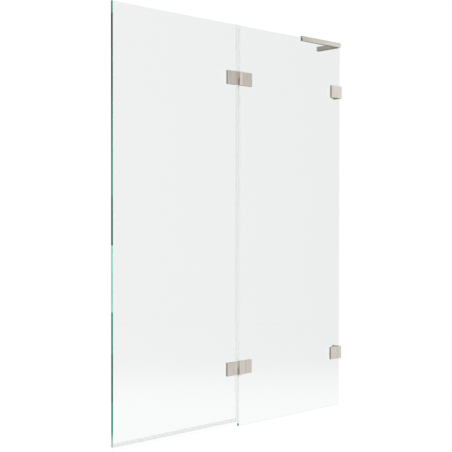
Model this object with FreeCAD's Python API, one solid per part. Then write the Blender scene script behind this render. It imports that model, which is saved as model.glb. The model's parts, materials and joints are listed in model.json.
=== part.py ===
import FreeCAD, Part
import math
import os

# Two-panel bath screen: a fixed glass panel on the wall and a glass door hinged on its free edge.
# X runs along the glass towards the wall, Y from the room into the bath, Z up.
# The origin is the fixed panel's lower corner at the wall, in the middle of the glass.
# All sizes are in millimetres.

# Glass panels
glass_thickness = 8.0
glass_height = 1500.0
fixed_glass_width = 576.0
door_glass_width = 566.0
panel_gap = 8.0
door_lift = 20.0
glass_arris = 0.8
wall_gap = 2.0

# What all fittings share
fitting_inset = 200.0
fitting_height = 50.0
plate_thickness = 8.5
plate_chamfer = 0.6
gasket_thickness = 1.0
fit_clearance = 0.05
blind_hole_skin = 2.0
screw_end_gap = 0.5

# Hinge leaves and barrel
axis_inset = 0.6
fold_gap = 0.8
knuckle_radius = 7.25
knuckle_clearance = 0.4
knuckle_overhang = 1.0
knuckle_end_wall = 3.0
door_leaf_from_edge = 6.1
door_leaf_width = 49.9
fixed_leaf_width = 51.55
door_web_depth = 5.9
fixed_web_depth = 3.9
glass_swing_clearance = 0.4

# Hinge pin and bush
pin_radius = 4.0
pin_clearance = 0.05
bush_wall = 1.0
thrust_flange_thickness = 1.0
thrust_flange_inset = 0.5
thrust_clearance = 0.05
lift_off_gap = 0.5

# Cone screws that hold the leaves, flush with the back of the glass
cone_hole_front_radius = 9.0
cone_hole_back_radius = 13.0
cone_liner_thickness = 1.0
cone_screw_radius = 5.0
cone_socket_across_flats = 6.0
cone_socket_depth = 4.0
cone_flush_depth = 0.2

# Wall brackets
bracket_plate_width = 62.5
angle_leg_length = 36.0
angle_thickness = 8.0
angle_flange_reach = 27.0
angle_inner_radius = 3.0
clamp_screw_radius = 3.0
clamp_head_radius = 5.0
clamp_head_height = 4.0
clamp_head_depth = 0.5
clamp_socket_across_flats = 5.0
clamp_socket_depth = 2.5
clamp_clearance = 0.3
sleeve_wall = 3.0
wall_hole_radius = 3.25
wall_hole_spacing = 28.0
wall_hole_from_flange_end = 9.0

# Stabiliser bar over the top edge of the fixed panel
bar_wall = 2.0
bar_liner_thickness = 1.0
bar_liner_setback = 0.5
bar_height = 18.5
bar_above_glass = 5.5
bar_glass_length = 233.5
bar_wall_length = 125.0
bar_chamfer = 0.5
stud_hole_radius = 4.0
stud_hole_depth = 10.0
stud_spacing = 60.0
stud_from_end = 16.0
grub_radius = 2.5
grub_setback = 0.3
grub_socket_across_flats = 2.5
grub_socket_depth = 2.0

# Seals on the door
seal_wall = 1.0
bottom_seal_leg = 12.0
edge_seal_leg = 7.0
edge_seal_drop = 10.0
edge_lip_thickness = 0.8
edge_lip_reach = 4.3
edge_lip_clearance = 0.3
seal_end_gap = 1.0
seal_corner_gap = 0.3
wiper_thickness = 1.2
wiper_rim_gap = 3.8
deflector_reach = 6.0

# Places that follow from the sizes above
X_AXIS = FreeCAD.Vector(1, 0, 0)
Y_AXIS = FreeCAD.Vector(0, 1, 0)
Z_AXIS = FreeCAD.Vector(0, 0, 1)
wall_x = wall_gap
glass_front = -glass_thickness / 2
glass_back = glass_thickness / 2
door_edge_x = -fixed_glass_width - panel_gap
door_free_x = door_edge_x - door_glass_width
plate_back = glass_front - gasket_thickness
plate_front = plate_back - plate_thickness
half_height = fitting_height / 2
fitting_levels = {"upper": glass_height - fitting_inset, "lower": door_lift + fitting_inset}

# Hinge axis, and the leaves' places measured from it
axis_x = -fixed_glass_width + axis_inset
axis_y = plate_front - fold_gap / 2
leaf_front = plate_front - axis_y
leaf_back = plate_back - axis_y
leaf_relief = knuckle_radius + knuckle_clearance
fixed_leaf_outer = leaf_relief + fixed_leaf_width
fixed_leaf_middle = leaf_relief + fixed_leaf_width / 2
door_leaf_inner = -(panel_gap + axis_inset + door_leaf_from_edge)
door_leaf_outer = door_leaf_inner - door_leaf_width
door_leaf_middle = door_leaf_inner - door_leaf_width / 2
door_glass_corner = math.hypot(door_edge_x - axis_x, glass_front - axis_y)
fixed_web_reach = math.sqrt((door_glass_corner - glass_swing_clearance) ** 2 - leaf_back ** 2)
knuckle_end = half_height + knuckle_overhang
knuckle_split = thrust_flange_thickness / 2
knuckle_length = knuckle_end - knuckle_split
bore_length = knuckle_length - knuckle_end_wall
bush_radius = pin_radius + pin_clearance + bush_wall
bush_top = knuckle_end - knuckle_end_wall - lift_off_gap

# Wall bracket
leg_front = glass_back + gasket_thickness
leg_back = leg_front + angle_thickness
flange_end = leg_front + angle_flange_reach
angle_inner_x = wall_x - angle_thickness
leg_end_x = wall_x - angle_leg_length
clamp_x = (leg_end_x + angle_inner_x) / 2
clamp_hole_radius = clamp_screw_radius + clamp_clearance
sleeve_radius = clamp_hole_radius + sleeve_wall

# Stabiliser
bar_slot = glass_thickness + 2 * bar_liner_thickness
bar_width = bar_slot + 2 * bar_wall
bar_top = glass_height + bar_above_glass
bar_bottom = bar_top - bar_height
bar_middle = (bar_top + bar_bottom) / 2
bar_front = -bar_width / 2
bar_back = bar_width / 2
bar_end_y = bar_front + bar_wall_length
bar_free_x = wall_x - bar_glass_length
bar_slot_roof = glass_height + bar_liner_thickness
stud_places = [bar_end_y - stud_from_end, bar_end_y - stud_from_end - stud_spacing]
grub_x = wall_x - stud_hole_depth / 2


def point(x, y, z=0.0):
    return FreeCAD.Vector(x, y, z)


def near(a, b):
    return abs(a - b) < 1e-4


def spread(spacing):
    return (-spacing / 2, spacing / 2)


def block(x0, x1, y0, y1, z0, z1):
    return Part.makeBox(x1 - x0, y1 - y0, z1 - z0, point(x0, y0, z0))


def rod(radius, start, axis, length):
    return Part.makeCylinder(radius, length, start, axis)


def prism(corners, along):
    """Straight prism on a flat outline of corner points."""
    return Part.Face(Part.makePolygon(corners + corners[:1])).extrude(along)


def hexagon(across_flats, start, axis, length):
    """Hexagonal prism that grows along the axis from its start."""
    radius = across_flats / math.sqrt(3.0)
    turns = [k * math.pi / 3 for k in range(6)]
    shape = prism([point(radius * math.cos(t), radius * math.sin(t)) for t in turns], Z_AXIS * length)
    shape.Placement = FreeCAD.Placement(start, FreeCAD.Rotation(Z_AXIS, axis))
    return shape


def turned(profile, centre, axis):
    """Turn a profile of (radius, distance along the axis) pairs about an axis through the centre."""
    corners = [point(radius, 0, along) for radius, along in profile]
    face = Part.Face(Part.makePolygon(corners + corners[:1]))
    solid = face.revolve(point(0, 0), Z_AXIS, 360)
    solid.Placement = FreeCAD.Placement(centre, FreeCAD.Rotation(Z_AXIS, axis))
    return solid


def union(shapes):
    whole = shapes[0]
    for shape in shapes[1:]:
        whole = whole.fuse(shape)
    return whole.removeSplitter()


def drilled(shape, tools):
    for tool in tools:
        shape = shape.cut(tool)
    return shape


def chamfered(shape, size, chosen):
    """Break the straight edges for which chosen(middle, direction) is true."""
    edges = []
    for edge in shape.Edges:
        first, last = edge.Vertexes[0].Point, edge.Vertexes[-1].Point
        if chosen((first + last) * 0.5, (last - first).normalize()):
            edges.append(edge)
    return shape.makeChamfer(size, edges)


# Glass
def glass_pane(x0, x1, z0, z1):
    """Pane whose edges are broken all round on both faces."""
    pane = block(x0, x1, glass_front, glass_back, z0, z1)
    return chamfered(pane, glass_arris, lambda middle, direction: abs(direction.y) < 0.5)


def cone_hole(leaf_middle, level):
    start = point(axis_x + leaf_middle, glass_front, level)
    return Part.makeCone(cone_hole_front_radius, cone_hole_back_radius, glass_thickness, start, Y_AXIS)


def fixed_glass_panel():
    holes = []
    for level in fitting_levels.values():
        holes.append(cone_hole(fixed_leaf_middle, level))
        start = point(clamp_x, glass_front, level)
        holes.append(rod(sleeve_radius + fit_clearance, start, Y_AXIS, glass_thickness))
    return drilled(glass_pane(-fixed_glass_width, 0, 0, glass_height), holes)


def door_glass_panel():
    holes = [cone_hole(door_leaf_middle, level) for level in fitting_levels.values()]
    return drilled(glass_pane(door_free_x, door_edge_x, door_lift, glass_height), holes)


# Hinges, built about their axis at half height
def leaf_plate(inner, outer):
    """Flat plate whose front edges are broken, except at the end next to the barrel."""
    low, high = sorted((inner, outer))
    plate = block(low, high, leaf_front, leaf_back, -half_height, half_height)

    def on_front(middle, direction):
        return near(middle.y, leaf_front) and not near(middle.x, inner)

    return chamfered(plate, plate_chamfer, on_front)


def leaf_screw_hole(middle):
    depth = plate_thickness - blind_hole_skin
    return rod(cone_screw_radius + fit_clearance, point(middle, leaf_back - depth), Y_AXIS, depth)


def fixed_leaf():
    """Plate with the lower half knuckle, and the web that stands behind the knuckle."""
    low, high = -knuckle_end, -knuckle_split
    plate = leaf_plate(leaf_relief, fixed_leaf_outer)
    neck = block(0, leaf_relief, leaf_front, leaf_back, -half_height, high)
    web = block(-fixed_web_reach, 0, leaf_back - fixed_web_depth, leaf_back, -half_height, high)
    knuckle = rod(knuckle_radius, point(0, 0, low), Z_AXIS, knuckle_length)
    bore = rod(pin_radius + fit_clearance, point(0, 0, high - bore_length), Z_AXIS, bore_length)
    return drilled(union([plate, neck, web, knuckle]), [bore, leaf_screw_hole(fixed_leaf_middle)])


def door_leaf():
    """Plate with the upper half knuckle on a web set back from the plate's front."""
    low = knuckle_split
    plate = leaf_plate(door_leaf_inner, door_leaf_outer)
    web = block(door_leaf_inner, 0, leaf_back - door_web_depth, leaf_back, low, half_height)
    knuckle = rod(knuckle_radius, point(0, 0, low), Z_AXIS, knuckle_length)
    bore = rod(bush_radius + fit_clearance, point(0, 0, low), Z_AXIS, bore_length)
    return drilled(union([plate, web, knuckle]), [bore, leaf_screw_hole(door_leaf_middle)])


def leaf_gasket(inner, outer):
    """Pad between leaf and glass, with a square window for the cone screw."""
    low, high = sorted((inner, outer))
    middle = (low + high) / 2
    window = cone_hole_front_radius
    front, back = leaf_back, leaf_back + gasket_thickness
    pad = block(low, high, front, back, -half_height, half_height)
    return pad.cut(block(middle - window, middle + window, front, back, -window, window))


def cone_radius(inset, y):
    """Radius of the glass hole at a depth in the glass, less an inset."""
    share = (y - glass_front) / glass_thickness
    return cone_hole_front_radius + share * (cone_hole_back_radius - cone_hole_front_radius) - inset


def cone_liner(middle):
    """Clear cone between screw and glass."""
    outer, inner = fit_clearance, fit_clearance + cone_liner_thickness
    end = glass_back - cone_flush_depth
    profile = [
        (cone_radius(inner, glass_front), glass_front),
        (cone_radius(outer, glass_front), glass_front),
        (cone_radius(outer, end), end),
        (cone_radius(inner, end), end),
    ]
    return turned(profile, point(middle, -axis_y), Y_AXIS)


def cone_screw(middle):
    """Screw with a cone head that fills the glass hole and a shank that ends in the leaf."""
    inset = 2 * fit_clearance + cone_liner_thickness
    end = glass_back - cone_flush_depth
    tip = plate_front + blind_hole_skin + screw_end_gap
    profile = [
        (0, tip),
        (cone_screw_radius, tip),
        (cone_screw_radius, glass_front),
        (cone_radius(inset, glass_front), glass_front),
        (cone_radius(inset, end), end),
        (0, end),
    ]
    screw = turned(profile, point(middle, -axis_y), Y_AXIS)
    floor = point(middle, end - axis_y - cone_socket_depth)
    return screw.cut(hexagon(cone_socket_across_flats, floor, Y_AXIS, cone_socket_depth))


def hinge_pin():
    """Pin that stands in the lower knuckle and carries the door's bush on its upper end."""
    low = -knuckle_split - bore_length
    return rod(pin_radius, point(0, 0, low), Z_AXIS, bush_top - low)


def hinge_bush():
    """Sleeve in the door knuckle, with a flange on which the door rests and turns."""
    seat = -knuckle_split + thrust_clearance
    inner = pin_radius + pin_clearance
    flange_radius = knuckle_radius - thrust_flange_inset
    profile = [
        (inner, seat),
        (flange_radius, seat),
        (flange_radius, knuckle_split),
        (bush_radius, knuckle_split),
        (bush_radius, bush_top),
        (inner, bush_top),
    ]
    return turned(profile, point(0, 0), Z_AXIS)


def hinge_pieces():
    return {
        "fixed_leaf": fixed_leaf(),
        "fixed_gasket": leaf_gasket(leaf_relief, fixed_leaf_outer),
        "pin": hinge_pin(),
        "door_leaf": door_leaf(),
        "door_gasket": leaf_gasket(door_leaf_inner, door_leaf_outer),
    }


def hinge_small_pieces():
    return {
        "bushes": hinge_bush(),
        "fixed_cone_screws": cone_screw(fixed_leaf_middle),
        "fixed_cone_liners": cone_liner(fixed_leaf_middle),
        "door_cone_screws": cone_screw(door_leaf_middle),
        "door_cone_liners": cone_liner(door_leaf_middle),
    }


# Wall brackets, built at half height
def bracket_front_plate():
    x0 = wall_x - bracket_plate_width
    plate = block(x0, wall_x, plate_front, plate_back, -half_height, half_height)

    def on_front(middle, direction):
        return near(middle.y, plate_front) and not near(middle.x, wall_x)

    depth = plate_thickness - blind_hole_skin
    hole = rod(clamp_screw_radius + fit_clearance, point(clamp_x, plate_back - depth), Y_AXIS, depth)
    return chamfered(plate, plate_chamfer, on_front).cut(hole)


def bracket_wall_angle():
    """Angle with one leg behind the glass and a flange that runs back along the wall."""
    outline = [
        (leg_end_x, leg_front), (wall_x, leg_front), (wall_x, flange_end),
        (angle_inner_x, flange_end), (angle_inner_x, leg_back), (leg_end_x, leg_back),
    ]
    angle = prism([point(x, y, -half_height) for x, y in outline], Z_AXIS * fitting_height)
    corner = [
        edge for edge in angle.Edges
        if near(edge.CenterOfMass.x, angle_inner_x) and near(edge.CenterOfMass.y, leg_back)
    ]
    angle = angle.makeFillet(angle_inner_radius, corner)
    recess = clamp_head_height + clamp_head_depth
    tools = [
        rod(clamp_hole_radius, point(clamp_x, leg_front), Y_AXIS, angle_thickness),
        rod(clamp_head_radius + clamp_clearance, point(clamp_x, leg_back - recess), Y_AXIS, recess),
    ]
    for z in spread(wall_hole_spacing):
        start = point(angle_inner_x, flange_end - wall_hole_from_flange_end, z)
        tools.append(rod(wall_hole_radius, start, X_AXIS, angle_thickness))
    return drilled(angle, tools)


def bracket_gasket(x0, y0):
    """Pad between metal and glass, with a square window for the clamp screw."""
    window = clamp_hole_radius
    pad = block(x0, 0, y0, y0 + gasket_thickness, -half_height, half_height)
    return pad.cut(block(clamp_x - window, clamp_x + window, y0, y0 + gasket_thickness, -window, window))


def bracket_sleeve():
    """Sleeve that keeps the clamp screw off the glass."""
    start = point(clamp_x, glass_front)
    sleeve = rod(sleeve_radius, start, Y_AXIS, glass_thickness)
    return sleeve.cut(rod(clamp_hole_radius, start, Y_AXIS, glass_thickness))


def bracket_screw():
    """Socket screw from the angle through the glass into the front plate."""
    top = leg_back - clamp_head_depth
    neck = top - clamp_head_height
    tip = plate_front + blind_hole_skin + screw_end_gap
    profile = [
        (0, tip), (clamp_screw_radius, tip), (clamp_screw_radius, neck),
        (clamp_head_radius, neck), (clamp_head_radius, top), (0, top),
    ]
    floor = point(clamp_x, top - clamp_socket_depth)
    screw = turned(profile, point(clamp_x, 0), Y_AXIS)
    return screw.cut(hexagon(clamp_socket_across_flats, floor, Y_AXIS, clamp_socket_depth))


def bracket_pieces():
    return {
        "front_plate": bracket_front_plate(),
        "wall_angle": bracket_wall_angle(),
        "front_gasket": bracket_gasket(wall_x - bracket_plate_width, plate_back),
        "back_gasket": bracket_gasket(leg_end_x, glass_back),
    }


def bracket_small_pieces():
    return {
        "clamp_screws": bracket_screw(),
        "glass_sleeves": bracket_sleeve(),
    }


# Stabiliser
def stabiliser_bar():
    """L-shaped bar: a slotted arm over the glass and a solid arm along the wall."""
    inner_x = wall_x - bar_width
    outline = [
        (bar_free_x, bar_front), (wall_x, bar_front), (wall_x, bar_end_y),
        (inner_x, bar_end_y), (inner_x, bar_back), (bar_free_x, bar_back),
    ]
    bar = prism([point(x, y, bar_bottom) for x, y in outline], Z_AXIS * bar_height)

    def outer_edge(middle, direction):
        return abs(direction.z) < 0.5 and not near(middle.x, wall_x)

    tools = [block(bar_free_x, wall_x, -bar_slot / 2, bar_slot / 2, bar_bottom, bar_slot_roof)]
    for y in stud_places:
        start = point(wall_x - stud_hole_depth, y, bar_middle)
        tools.append(rod(stud_hole_radius, start, X_AXIS, stud_hole_depth))
        tools.append(rod(grub_radius + fit_clearance, point(grub_x, y, bar_bottom), Z_AXIS, bar_height / 2))
    return drilled(chamfered(bar, bar_chamfer, outer_edge), tools)


def stabiliser_liner():
    """Channel that lines the bar's slot and grips the glass."""
    x0 = bar_free_x + bar_liner_setback
    low = bar_bottom + bar_liner_setback
    channel = block(x0, 0, -bar_slot / 2, bar_slot / 2, low, bar_slot_roof)
    return channel.cut(block(x0, 0, glass_front, glass_back, low, glass_height))


def stabiliser_grub_screws():
    """Screws from below that lock the wall arm on its two wall studs."""
    length = bar_height / 2 - stud_hole_radius - grub_setback
    screws = []
    for y in stud_places:
        foot = point(grub_x, y, bar_bottom + grub_setback)
        screw = rod(grub_radius, foot, Z_AXIS, length)
        screws.append(screw.cut(hexagon(grub_socket_across_flats, foot, Z_AXIS, grub_socket_depth)))
    return screws


# Seals
def edge_seal(z0, z1):
    """Channel on the door's hinge edge, with a lip that laps the fixed panel.

    The lip's end follows a circle about the hinge axis, so it stays clear as the door swings."""
    leg_x = door_edge_x - edge_seal_leg
    outer_x = door_edge_x + seal_wall
    front, back = glass_front - seal_wall, glass_back + seal_wall
    back_radius = glass_front - axis_y - edge_lip_clearance
    front_radius = back_radius - edge_lip_thickness

    def on_circle(radius, reach):
        return point(axis_x + reach, axis_y + math.sqrt(radius ** 2 - reach ** 2), z0)

    def arc(radius, reaches):
        return Part.Arc(*[on_circle(radius, reach) for reach in reaches]).toShape()

    half = edge_lip_reach / 2
    channel = [
        on_circle(back_radius, 0),
        point(outer_x, axis_y + back_radius, z0),
        point(outer_x, back, z0),
        point(leg_x, back, z0),
        point(leg_x, glass_back, z0),
        point(door_edge_x, glass_back, z0),
        point(door_edge_x, glass_front, z0),
        point(leg_x, glass_front, z0),
        point(leg_x, front, z0),
        point(outer_x, front, z0),
        on_circle(front_radius, 0),
    ]
    tip = [on_circle(front_radius, edge_lip_reach), on_circle(back_radius, edge_lip_reach)]
    edges = Part.makePolygon(channel).Edges
    edges.append(arc(front_radius, (0, half, edge_lip_reach)))
    edges.append(Part.LineSegment(*tip).toShape())
    edges.append(arc(back_radius, (edge_lip_reach, half, 0)))
    return Part.Face(Part.Wire(edges)).extrude(Z_AXIS * (z1 - z0))


def edge_seals():
    """Three lengths between the door's ends and the hinges; the lowest hangs past the door's lower edge."""
    clear = knuckle_end + seal_end_gap
    upper, lower = fitting_levels["upper"], fitting_levels["lower"]
    return {
        "bottom": edge_seal(door_lift - edge_seal_drop, lower - clear),
        "middle": edge_seal(lower + clear, upper - clear),
        "top": edge_seal(upper + clear, glass_height),
    }


def bottom_seal():
    """Channel on the door's lower edge, with a wiper below it and a deflector towards the bath."""
    x1 = door_edge_x - edge_seal_leg - seal_corner_gap
    top = door_lift + bottom_seal_leg
    low = door_lift - seal_wall
    front, back = glass_front - seal_wall, glass_back + seal_wall
    wiper = wiper_thickness / 2
    fin_offset = seal_wall * math.sqrt(2.0)
    fin_tip = glass_back + deflector_reach
    outline = [
        (front, top), (front, low), (-wiper, low), (-wiper, wiper_rim_gap), (wiper, wiper_rim_gap),
        (wiper, low), (glass_back, low), (fin_tip, low - deflector_reach),
        (fin_tip + fin_offset, low - deflector_reach), (back, low + fin_offset - seal_wall), (back, top),
        (glass_back, top), (glass_back, door_lift), (glass_front, door_lift), (glass_front, top),
    ]
    return prism([point(door_free_x, y, z) for y, z in outline], X_AXIS * (x1 - door_free_x))


def at_both_levels(shape):
    """Copies of a fitting's piece, raised from the given place to the two fitting heights."""
    return {place: shape.translated(point(0, 0, level)) for place, level in fitting_levels.items()}


def all_pieces():
    """Every piece of the screen: node name and its solids."""
    pieces = {
        "fixed_glass_panel": [fixed_glass_panel()],
        "door_glass_panel": [door_glass_panel()],
        "stabiliser_bar": [stabiliser_bar()],
        "stabiliser_liner": [stabiliser_liner()],
        "stabiliser_grub_screws": stabiliser_grub_screws(),
        "door_bottom_seal": [bottom_seal()],
    }
    for place, seal in edge_seals().items():
        pieces[f"door_edge_seal_{place}"] = [seal]
    at_axis = point(axis_x, axis_y)
    fittings = {
        "hinge": ({k: v.translated(at_axis) for k, v in hinge_pieces().items()},
                  {k: v.translated(at_axis) for k, v in hinge_small_pieces().items()}),
        "bracket": (bracket_pieces(), bracket_small_pieces()),
    }
    for kind, (separate, grouped) in fittings.items():
        for name, shape in separate.items():
            for place, copy in at_both_levels(shape).items():
                pieces[f"{place}_{kind}_{name}"] = [copy]
        for name, shape in grouped.items():
            pieces[f"{kind}_{name}"] = list(at_both_levels(shape).values())
    return pieces


def main():
    os.makedirs("parts", exist_ok=True)
    for name, solids in all_pieces().items():
        shape = solids[0] if len(solids) == 1 else Part.makeCompound(solids)
        shape.exportStep(f"parts/{name}.step")


main()
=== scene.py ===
import json
import math

import bmesh
import bpy
from mathutils import Matrix, Vector


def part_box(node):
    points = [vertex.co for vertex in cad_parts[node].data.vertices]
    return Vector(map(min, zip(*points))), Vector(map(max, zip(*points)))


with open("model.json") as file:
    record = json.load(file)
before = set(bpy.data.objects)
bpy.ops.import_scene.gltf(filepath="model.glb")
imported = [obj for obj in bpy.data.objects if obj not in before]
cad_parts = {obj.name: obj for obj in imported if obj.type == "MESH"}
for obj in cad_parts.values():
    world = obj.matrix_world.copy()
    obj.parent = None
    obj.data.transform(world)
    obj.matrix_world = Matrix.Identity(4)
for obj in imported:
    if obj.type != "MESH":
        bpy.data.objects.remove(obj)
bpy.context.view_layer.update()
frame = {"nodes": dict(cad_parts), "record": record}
nodes = frame["nodes"]

# Camera, fitted to the photograph
IMAGE_PX = 452.0
FOCAL_PX = 895.441
SENSOR_MM = 36.0
CAMERA_YAW = math.radians(42.434)
CAMERA_PITCH = math.radians(0.8131)
CAMERA_ROLL = math.radians(-0.0671)
CAMERA_AT = Vector((-2.87056, -2.44294, 0.79800))
CAMERA_CLIP = (0.05, 100.0)


def make_camera():
    forward = Vector((
        math.sin(CAMERA_YAW) * math.cos(CAMERA_PITCH),
        math.cos(CAMERA_YAW) * math.cos(CAMERA_PITCH),
        -math.sin(CAMERA_PITCH),
    ))
    level = Vector((math.cos(CAMERA_YAW), -math.sin(CAMERA_YAW), 0.0))
    down = forward.cross(level)
    right = math.cos(CAMERA_ROLL) * level + math.sin(CAMERA_ROLL) * down
    up = math.sin(CAMERA_ROLL) * level - math.cos(CAMERA_ROLL) * down
    data = bpy.data.cameras.new("camera")
    data.sensor_width = SENSOR_MM
    data.lens = FOCAL_PX * SENSOR_MM / IMAGE_PX
    data.clip_start, data.clip_end = CAMERA_CLIP
    camera = bpy.data.objects.new("camera", data)
    turn = Matrix((right, up, -forward)).transposed().to_4x4()
    camera.matrix_world = Matrix.Translation(CAMERA_AT) @ turn
    bpy.context.scene.collection.objects.link(camera)
    bpy.context.scene.camera = camera


class Tree:
    """Short words for building a node tree."""

    def __init__(self, tree):
        self.tree = tree

    def node(self, kind, **settings):
        made = self.tree.nodes.new(kind)
        for name, value in settings.items():
            setattr(made, name, value)
        return made

    def link(self, source, target):
        self.tree.links.new(source, target)

    def put(self, value, socket):
        if isinstance(value, bpy.types.NodeSocket):
            self.link(value, socket)
        else:
            socket.default_value = value

    def math(self, operation, a, b=0.0):
        made = self.node("ShaderNodeMath", operation=operation)
        self.put(a, made.inputs[0])
        self.put(b, made.inputs[1])
        return made.outputs[0]

    def times(self, a, b):
        return self.math("MULTIPLY", a, b)

    def rest(self, value):
        """One less the value."""
        return self.math("SUBTRACT", 1.0, value)

    def size(self, value):
        """The value without its sign."""
        return self.math("ABSOLUTE", value)

    def ramp(self, value, low, high, out_low=0.0, out_high=1.0):
        """Smooth step from out_low at low to out_high at high."""
        made = self.node("ShaderNodeMapRange", interpolation_type="SMOOTHSTEP")
        self.put(value, made.inputs["Value"])
        for name, number in zip(("From Min", "From Max", "To Min", "To Max"), (low, high, out_low, out_high)):
            made.inputs[name].default_value = number
        return made.outputs["Result"]

    def fade(self, value, low, high):
        """Smooth step from one at low to nothing at high."""
        return self.ramp(value, low, high, 1.0, 0.0)

    def mix(self, factor, a, b):
        # Sockets 6, 7 and 2 are the node's colours
        made = self.node("ShaderNodeMix", data_type="RGBA")
        self.put(factor, made.inputs["Factor"])
        self.put(a, made.inputs[6])
        self.put(b, made.inputs[7])
        return made.outputs[2]

    def mix_shaders(self, factor, a, b):
        made = self.node("ShaderNodeMixShader")
        self.put(factor, made.inputs[0])
        self.link(a.outputs[0], made.inputs[1])
        self.link(b.outputs[0], made.inputs[2])
        return made

    def split(self, vector):
        made = self.node("ShaderNodeSeparateXYZ")
        self.link(vector, made.inputs[0])
        return made.outputs

    def dot(self, vector, direction):
        made = self.node("ShaderNodeVectorMath", operation="DOT_PRODUCT")
        self.link(vector, made.inputs[0])
        made.inputs[1].default_value = direction
        return made.outputs["Value"]

    def noise(self, vector, scale, detail=2.0, stretch=(1.0, 1.0, 1.0)):
        mapping = self.node("ShaderNodeMapping")
        self.link(vector, mapping.inputs["Vector"])
        mapping.inputs["Scale"].default_value = stretch
        made = self.node("ShaderNodeTexNoise")
        self.link(mapping.outputs[0], made.inputs["Vector"])
        made.inputs["Scale"].default_value = scale
        made.inputs["Detail"].default_value = detail
        return made.outputs["Fac"]

    def show(self, shader):
        """Makes a shader the material's surface."""
        self.link(shader.outputs[0], self.tree.nodes["Material Output"].inputs["Surface"])


def colour(r, g, b):
    return (r, g, b, 1.0)


def grey(value):
    return colour(value, value, value)


# Most of a noise's values lie in this span, and grain has more detail than a plain noise
NOISE_SPAN = (0.3, 0.7)
GRAIN_DETAIL = 3.0


def new_material(name):
    """A material with one Principled shader; returns it, its tree, the shader and its coordinates."""
    material = bpy.data.materials.new(name)
    material.use_nodes = True
    tree = Tree(material.node_tree)
    shader = material.node_tree.nodes["Principled BSDF"]
    place = tree.node("ShaderNodeTexCoord")
    return material, tree, shader, place


def set_colour(tree, shader, noise, low, high, span=NOISE_SPAN):
    """Base colour that a noise varies from low to high."""
    tree.link(tree.mix(tree.ramp(noise, *span), low, high), shader.inputs["Base Color"])


def set_roughness(tree, shader, noise, low, high):
    """Roughness that a noise varies from low to high."""
    tree.link(tree.ramp(noise, *NOISE_SPAN, low, high), shader.inputs["Roughness"])


def set_bump(tree, shader, height, distance, strength):
    bump = tree.node("ShaderNodeBump")
    bump.inputs["Strength"].default_value = strength
    bump.inputs["Distance"].default_value = distance
    tree.link(height, bump.inputs["Height"])
    tree.link(bump.outputs[0], shader.inputs["Normal"])


# Places in the frame that divide a surface into zones
SLACK = 0.0005
door_low, door_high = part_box("door_glass_panel")
fixed_low, fixed_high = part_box("fixed_glass_panel")
edge_seal_low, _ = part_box("door_edge_seal_bottom")
bar_low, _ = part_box("stabiliser_bar")
GLASS_HEIGHT = fixed_high.z
# Left of these lie the free edge, and the strip of the door's faces that has its colour
FREE_EDGE_X = door_low.x + 0.01
FREE_STRIP_X = door_low.x + 0.002
# The edges at the seam, by its middle and a half width that takes in both
SEAM_X = (door_high.x + fixed_low.x) / 2
SEAM_HALF = fixed_low.x - SEAM_X + 0.002
# The edge seal starts at this height, its web lies right of the door, and the wiper lies below the door
SEALED_FROM_Z = edge_seal_low.z - SLACK
SEAL_GAP_X = door_high.x - SLACK
SEAL_WIPER_Z = door_low.z - 3 * SLACK
# The bar's arm along the wall lies behind this
BAR_WALL_Y = SLACK - bar_low.y

# Clear float glass: faces let light through, polished edges are green, broken corners are frosted
GLASS_FACE = colour(0.935, 0.952, 0.947)
GLASS_SHADOW = colour(0.86, 0.89, 0.88)
GLASS_IOR = 1.5
# The faces have the usual gloss and the edges none
FACE_SPECULAR = 0.5
ARRIS = colour(0.84, 0.88, 0.87)
EDGE_INSIDE = colour(0.93, 0.95, 0.945)
EDGE_ROUGHNESS = 0.25
# Limits on the normal that tell the edge from the faces, and its flats from its broken corners
RIM_BELOW = 0.9
FLAT_BELOW = 0.5
UPRIGHT_ABOVE = 0.6
# Where the edge seal lies, the edge's green is replaced by painted light: pale, and lighter towards the
# bottom, from low to high
SEALED_PAINTED_LIGHT_LOW = colour(0.93, 0.95, 0.945)
SEALED_PAINTED_LIGHT_HIGH = colour(0.86, 0.89, 0.88)
# Painted reflections on the free edge: bands of green, dark and pale, each from a height in metres upwards
EDGE_GREEN = colour(0.0, 0.25, 0.18)
EDGE_PALE_REFLECTION = colour(0.24, 0.62, 0.53)
EDGE_DARK_REFLECTION = colour(0.0, 0.10, 0.07)
FREE_EDGE_REFLECTION_BANDS = (
    (0.0, EDGE_GREEN),
    (0.165, EDGE_DARK_REFLECTION),
    (0.325, EDGE_GREEN),
    (0.465, EDGE_PALE_REFLECTION),
    (0.69, EDGE_DARK_REFLECTION),
    (0.855, EDGE_GREEN),
)
# Above them the painted reflection deepens as far as a green tip, and its foot fades to painted grey at the
# lower seal
EDGE_DEEP_REFLECTION = colour(0.0, 0.04, 0.028)
EDGE_FOOT = colour(0.50, 0.57, 0.55)
DEEPENS_Z = (0.9, 1.3)
TIP_FROM_Z = 1.46
FOOT_Z = (0.03, 0.08)
MOTTLE_SCALE = 9.0
MOTTLE_SPAN = (0.35, 0.65)
MOTTLE_MOST = 0.15


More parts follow.
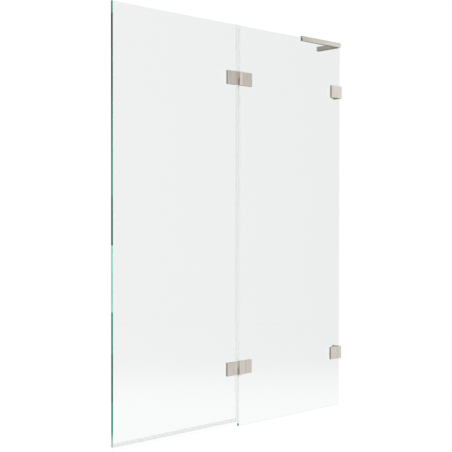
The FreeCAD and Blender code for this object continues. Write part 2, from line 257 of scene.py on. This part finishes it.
def free_edge_painted_colour(tree, where, height):
    """Colour of the door's free edge, with painted reflections that change with height."""
    bands = tree.node("ShaderNodeValToRGB")
    bands.color_ramp.interpolation = "CONSTANT"
    stops = bands.color_ramp.elements
    while len(stops) < len(FREE_EDGE_REFLECTION_BANDS):
        stops.new(0.5)
    for stop, (level, green) in zip(stops, FREE_EDGE_REFLECTION_BANDS):
        stop.position = level / GLASS_HEIGHT
        stop.color = green
    tree.link(tree.math("DIVIDE", height, GLASS_HEIGHT), bands.inputs["Fac"])
    # Painted reflection: the edge darkens above the bands, up to its tip
    deep = tree.times(tree.ramp(height, *DEEPENS_Z), tree.math("LESS_THAN", height, TIP_FROM_Z))
    green = tree.mix(deep, bands.outputs["Color"], EDGE_DEEP_REFLECTION)
    green = tree.mix(tree.fade(height, *FOOT_Z), green, EDGE_FOOT)
    cloud = tree.noise(where, MOTTLE_SCALE, GRAIN_DETAIL)
    return tree.mix(tree.ramp(cloud, *MOTTLE_SPAN, 0.0, MOTTLE_MOST), green, EDGE_GREEN)


def edge_colour(tree, where):
    """Colour of all the edges: green, with painted reflections in bands along the free edge, and painted
    light, pale, where the edge seal lies.
    """
    x, _, height = tree.split(where)
    at_seam = tree.math("LESS_THAN", tree.size(tree.math("SUBTRACT", x, SEAM_X)), SEAM_HALF)
    sealed = tree.times(at_seam, tree.math("GREATER_THAN", height, SEALED_FROM_Z))
    # Painted light: pale, and lighter towards the bottom
    pale = tree.mix(tree.ramp(height, 0.0, GLASS_HEIGHT), SEALED_PAINTED_LIGHT_LOW, SEALED_PAINTED_LIGHT_HIGH)
    other = tree.mix(sealed, EDGE_GREEN, pale)
    is_free = tree.math("LESS_THAN", x, FREE_EDGE_X)
    return tree.mix(is_free, other, free_edge_painted_colour(tree, where, height))


def glass_material():
    material, tree, shader, place = new_material("clear_glass")
    normal = tree.split(place.outputs["Normal"])
    inside = tree.node("ShaderNodeNewGeometry").outputs["Backfacing"]
    rim = tree.math("LESS_THAN", tree.size(normal[1]), RIM_BELOW)
    flat = tree.math("LESS_THAN", tree.size(normal[1]), FLAT_BELOW)
    upright = tree.math("GREATER_THAN", tree.size(normal[0]), UPRIGHT_ABOVE)
    # The free edge's colour, with its painted reflections, goes a little onto the faces
    where = place.outputs["Object"]
    strip = tree.math("LESS_THAN", tree.split(where)[0], FREE_STRIP_X)
    edge = tree.times(tree.math("MAXIMUM", rim, strip), tree.rest(inside))
    polished = tree.math("MAXIMUM", tree.math("MAXIMUM", flat, upright), strip)
    ground = tree.mix(polished, ARRIS, edge_colour(tree, where))
    face = tree.rest(edge)
    tree.link(tree.mix(edge, GLASS_FACE, ground), shader.inputs["Base Color"])
    tree.link(face, shader.inputs["Transmission Weight"])
    tree.link(tree.times(face, FACE_SPECULAR), shader.inputs["Specular IOR Level"])
    tree.link(tree.times(edge, EDGE_ROUGHNESS), shader.inputs["Roughness"])
    shader.inputs["IOR"].default_value = GLASS_IOR
    # From inside, the edges let light straight out
    clear = tree.node("ShaderNodeBsdfTransparent")
    clear.inputs["Color"].default_value = EDGE_INSIDE
    out = tree.mix_shaders(tree.times(rim, inside), shader, clear)
    # Lamps and soft light shine through the panes
    shade = tree.node("ShaderNodeBsdfTransparent")
    shade.inputs["Color"].default_value = GLASS_SHADOW
    path = tree.node("ShaderNodeLightPath")
    for kind in ("Is Diffuse Ray", "Is Shadow Ray"):
        out = tree.mix_shaders(path.outputs[kind], out, shade)
    tree.show(out)
    return material


# Brushed nickel: fine lines and broad streaks along the brushing
NICKEL_LOW = colour(0.675, 0.630, 0.574)
NICKEL_HIGH = colour(0.815, 0.771, 0.716)
NICKEL_ROUGHNESS = (0.50, 0.60)
NICKEL_BUMP_M = 0.00002
NICKEL_BUMP = 0.5
BROAD_SCALE = 260.0
FINE_SCALE = 2400.0
BROAD_SHARE = 0.65
ALONG_SCALE = 0.04
STREAK_SPAN = (0.32, 0.68)


def brushed(tree, where, along):
    """Streaks along one axis: (broad, fine)."""
    stretch = [1.0, 1.0, 1.0]
    stretch[along] = ALONG_SCALE
    broad = tree.noise(where, BROAD_SCALE, stretch=stretch)
    fine = tree.noise(where, FINE_SCALE, stretch=stretch)
    return broad, fine


def bar_streaks(tree, where):
    """Streaks that follow the bar, along the glass and then along the wall: (broad, fine)."""
    on_wall = tree.math("GREATER_THAN", tree.split(where)[1], BAR_WALL_Y)
    on_glass = tree.rest(on_wall)
    return [
        tree.math("ADD", tree.times(wall, on_wall), tree.times(glass, on_glass))
        for glass, wall in zip(brushed(tree, where, 0), brushed(tree, where, 1))
    ]


def nickel(name, is_bar=False):
    material, tree, shader, place = new_material(name)
    where = place.outputs["Object"]
    broad, fine = bar_streaks(tree, where) if is_bar else brushed(tree, where, 2)
    streak = tree.math("ADD", tree.times(broad, BROAD_SHARE), tree.times(fine, 1.0 - BROAD_SHARE))
    set_colour(tree, shader, streak, NICKEL_LOW, NICKEL_HIGH, STREAK_SPAN)
    set_roughness(tree, shader, fine, *NICKEL_ROUGHNESS)
    set_bump(tree, shader, fine, NICKEL_BUMP_M, NICKEL_BUMP)
    shader.inputs["Metallic"].default_value = 1.0
    return material


# Bright screw steel
STEEL_LOW = colour(0.46, 0.46, 0.46)
STEEL_HIGH = colour(0.62, 0.62, 0.61)
STEEL_ROUGHNESS = (0.24, 0.36)
STEEL_SCALE = 900.0


def steel_material():
    material, tree, shader, place = new_material("screw_steel")
    grain = tree.noise(place.outputs["Object"], STEEL_SCALE, GRAIN_DETAIL)
    set_colour(tree, shader, grain, STEEL_LOW, STEEL_HIGH)
    set_roughness(tree, shader, grain, *STEEL_ROUGHNESS)
    shader.inputs["Metallic"].default_value = 1.0
    return material


# Dark grey gasket rubber
RUBBER_LOW = colour(0.10, 0.10, 0.095)
RUBBER_HIGH = colour(0.16, 0.16, 0.15)
RUBBER_ROUGHNESS = 0.7
RUBBER_SCALE = 1500.0
RUBBER_BUMP_M = 0.00005
RUBBER_BUMP = 0.4


def rubber_material():
    material, tree, shader, place = new_material("grey_gasket")
    grain = tree.noise(place.outputs["Object"], RUBBER_SCALE, GRAIN_DETAIL)
    set_colour(tree, shader, grain, RUBBER_LOW, RUBBER_HIGH)
    set_bump(tree, shader, grain, RUBBER_BUMP_M, RUBBER_BUMP)
    shader.inputs["Roughness"].default_value = RUBBER_ROUGHNESS
    return material


# Half-clear nylon of the liners and sleeves
LINER_LOW = colour(0.78, 0.80, 0.79)
LINER_HIGH = colour(0.88, 0.89, 0.88)
LINER_ROUGHNESS = 0.35
LINER_ALPHA = 0.6
LINER_SCALE = 400.0


def nylon_material():
    material, tree, shader, place = new_material("clear_liner")
    cloud = tree.noise(place.outputs["Object"], LINER_SCALE)
    set_colour(tree, shader, cloud, LINER_LOW, LINER_HIGH)
    shader.inputs["Roughness"].default_value = LINER_ROUGHNESS
    shader.inputs["Alpha"].default_value = LINER_ALPHA
    return material


# Clear soft PVC: thin legs on the glass, a web in the gap between the panels, a clearer wiper below
SEAL_LOW = colour(0.80, 0.82, 0.82)
SEAL_HIGH = colour(0.88, 0.89, 0.89)
SEAL_ROUGHNESS = 0.3
SEAL_SCALE = 500.0
SEAL_GLOSS = 0.015
LEG_TINT = grey(0.973)
# Painted light on the web: its tint is lighter towards the bottom, from low to high
WEB_PAINTED_LIGHT_LOW = grey(0.992)
WEB_PAINTED_LIGHT_HIGH = grey(0.956)
WIPER_TINT = grey(0.991)


def seal_material():
    """A tinted film with a little gloss; the web's tint changes with height as painted light, lighter towards
    the bottom.
    """
    material, tree, shader, place = new_material("clear_seal")
    where = place.outputs["Object"]
    set_colour(tree, shader, tree.noise(where, SEAL_SCALE), SEAL_LOW, SEAL_HIGH)
    shader.inputs["Roughness"].default_value = SEAL_ROUGHNESS
    x, _, height = tree.split(where)
    in_gap = tree.math("GREATER_THAN", x, SEAL_GAP_X)
    is_wiper = tree.times(tree.math("LESS_THAN", height, SEAL_WIPER_Z), tree.rest(in_gap))
    # Painted light: the web is clearer low down and darker high up
    web = tree.mix(tree.ramp(height, 0.0, GLASS_HEIGHT), WEB_PAINTED_LIGHT_LOW, WEB_PAINTED_LIGHT_HIGH)
    tint = tree.mix(is_wiper, tree.mix(in_gap, LEG_TINT, web), WIPER_TINT)
    clear = tree.node("ShaderNodeBsdfTransparent")
    tree.link(tint, clear.inputs["Color"])
    tree.show(tree.mix_shaders(SEAL_GLOSS, clear, shader))
    return material


def dress():
    """Gives every CAD node the finish of its slot; the bar has its own brushing."""
    slots = {
        "clear_glass": glass_material(),
        "brushed_nickel": nickel("brushed_nickel"),
        "clear_seal": seal_material(),
        "grey_gasket": rubber_material(),
        "clear_liner": nylon_material(),
        "screw_steel": steel_material(),
    }
    bar = nickel("brushed_nickel_bar", is_bar=True)
    for part in frame["record"]["subparts"]:
        piece = nodes[part["node"]]
        material = bar if part["node"] == "stabiliser_bar" else slots[part["material_slot"]]
        piece.data.materials.clear()
        piece.data.materials.append(material)


# Studio: white floor and background, soft lamps, and a darker room that only mirrors show
BLACK = grey(0.0)
WHITE = grey(1.0)
SOFT_LIGHT = grey(0.75)
ROOM_BACK = colour(0.34, 0.36, 0.31)
ROOM_DARK = grey(0.08)
# The dark part of the room is an upright band, this far each way from its heading
DARK_HEADING = math.radians(42.0)
DARK_OUTER = math.radians(22.0)
DARK_INNER = math.radians(13.0)
DARK_WAY = Vector((math.sin(DARK_HEADING), -math.cos(DARK_HEADING), 0.0))
DARK_SIDE = DARK_WAY.cross(Vector((0.0, 0.0, 1.0)))
# Heights of the view, as sines, over which the band and the room behind end, and where that room begins
BAND_TOP = (0.22, 0.40)
BACK_TOP = (0.35, 0.7)
BACK_START = (-0.05, 0.45)
FLOOR_RADIUS = 3.0
FLOOR_SIDES = 96
FLOOR_AT = (-0.5, 0.0, -0.001)
FLOOR_GLOW = 0.92
FLOOR_BOUNCE = 0.46
FLOOR_MATT = grey(0.08)
# Distances over which the mirrored floor darkens, and how much, for sharp and for rough mirrors
STRIP_LENGTH = (0.1, 1.6)
STRIP_WIDTH = (0.7, 1.3)
STRIP_MOST = 0.92
STRIP_ROUGH = 0.46
BEHIND_SHARP = (0.0, 1.5, 0.0, 0.71)
BEHIND_ROUGH = (-0.3, 0.4, 0.0, 0.9)


def ray_kinds(tree):
    """Masks for rays: seen ones meet the background straight, through glass or in a mirror."""
    path = tree.node("ShaderNodeLightPath").outputs
    looking = tree.math("MAXIMUM", path["Is Camera Ray"], path["Is Transmission Ray"])
    mirrored = tree.math("GREATER_THAN", path["Glossy Depth"], 0.5)
    return {
        "seen": tree.math("MAXIMUM", looking, path["Is Glossy Ray"]),
        "mirrored": mirrored,
        "sharp": tree.times(mirrored, path["Is Singular Ray"]),
        "soft": path["Is Diffuse Ray"],
    }


def floor_material():
    """White by its own light; in mirrors it darkens along a strip towards the dark band, and behind."""
    material = bpy.data.materials.new("floor")
    material.use_nodes = True
    tree = Tree(material.node_tree)
    material.node_tree.nodes.remove(material.node_tree.nodes["Principled BSDF"])
    where = tree.node("ShaderNodeTexCoord").outputs["Object"]
    rays = ray_kinds(tree)
    length = tree.ramp(tree.dot(where, DARK_WAY), *STRIP_LENGTH, 0.0, STRIP_MOST)
    strip = tree.times(length, tree.fade(tree.size(tree.dot(where, DARK_SIDE)), *STRIP_WIDTH))
    y = tree.split(where)[1]
    sharp = tree.math("MAXIMUM", strip, tree.ramp(y, *BEHIND_SHARP))
    rough = tree.math("MAXIMUM", tree.times(strip, STRIP_ROUGH), tree.ramp(y, *BEHIND_ROUGH))
    lit = tree.rest(tree.times(rays["mirrored"], tree.mix(rays["sharp"], rough, sharp)))
    shown = tree.times(rays["seen"], FLOOR_GLOW)
    shown = tree.math("MAXIMUM", shown, tree.times(rays["soft"], FLOOR_BOUNCE))
    glow = tree.node("ShaderNodeEmission")
    tree.link(tree.times(shown, lit), glow.inputs["Strength"])
    matt = tree.node("ShaderNodeBsdfDiffuse")
    tree.link(tree.mix(lit, BLACK, FLOOR_MATT), matt.inputs["Color"])
    both = tree.node("ShaderNodeAddShader")
    tree.link(glow.outputs[0], both.inputs[0])
    tree.link(matt.outputs[0], both.inputs[1])
    tree.show(both)
    return material


def make_floor():
    mesh = bpy.data.meshes.new("floor")
    shape = bmesh.new()
    bmesh.ops.create_circle(shape, cap_ends=True, segments=FLOOR_SIDES, radius=FLOOR_RADIUS)
    shape.to_mesh(mesh)
    shape.free()
    floor = bpy.data.objects.new("floor", mesh)
    floor.location = FLOOR_AT
    bpy.context.scene.collection.objects.link(floor)
    mesh.materials.append(floor_material())


def make_world():
    """White where it is seen and grey for soft light; in mirrors darker behind and along an upright band."""
    world = bpy.data.worlds.new("studio")
    bpy.context.scene.world = world
    world.use_nodes = True
    tree = Tree(world.node_tree)
    way = tree.node("ShaderNodeTexCoord").outputs["Generated"]
    x, y, z = tree.split(way)
    rays = ray_kinds(tree)
    behind = tree.times(tree.ramp(y, *BACK_START), tree.fade(z, *BACK_TOP))
    reach = tree.math("SQRT", tree.math("ADD", tree.times(x, x), tree.times(y, y)))
    facing = tree.math("DIVIDE", tree.dot(way, DARK_WAY), reach)
    band = tree.times(tree.ramp(facing, math.cos(DARK_OUTER), math.cos(DARK_INNER)), tree.fade(z, *BAND_TOP))
    room = tree.mix(tree.times(behind, rays["mirrored"]), WHITE, ROOM_BACK)
    shown = tree.mix(rays["seen"], SOFT_LIGHT, room)
    shown = tree.mix(tree.times(band, rays["mirrored"]), shown, ROOM_DARK)
    background = world.node_tree.nodes["Background"]
    tree.link(shown, background.inputs["Color"])
    background.inputs["Strength"].default_value = 1.0


def add_lamp(name, place, target, size, watts, in_mirrors=False):
    data = bpy.data.lights.new(name, "AREA")
    data.shape = "RECTANGLE"
    data.size, data.size_y = size
    data.energy = watts
    lamp = bpy.data.objects.new(name, data)
    lamp.location = place
    lamp.rotation_euler = (Vector(target) - Vector(place)).to_track_quat("-Z", "Y").to_euler()
    lamp.visible_camera = False
    lamp.visible_transmission = False
    lamp.visible_glossy = in_mirrors
    bpy.context.scene.collection.objects.link(lamp)


def make_lamps():
    """Large soft lamps for the glass and the floor, and two small ones that the metal mirrors."""
    middle = (-0.55, 0.0, 0.8)
    add_lamp("key", (-3.2, -3.2, 2.6), middle, size=(2.2, 2.2), watts=110.0)
    add_lamp("fill", (2.4, -3.4, 2.2), middle, size=(2.0, 2.0), watts=50.0)
    add_lamp("side_low", (1.6, -1.0, 0.4), (-0.3, 0.0, 0.2), size=(0.5, 0.7), watts=3.2, in_mirrors=True)
    add_lamp("side_high", (0.9, -0.5, 1.45), (-0.05, 0.0, 1.3), size=(0.35, 0.5), watts=1.4, in_mirrors=True)
    add_lamp("back", (-1.0, 3.0, 2.8), middle, size=(2.4, 2.0), watts=40.0)


make_camera()
dress()
make_floor()
make_world()
make_lamps()
bpy.context.scene.view_settings.view_transform = "Standard"
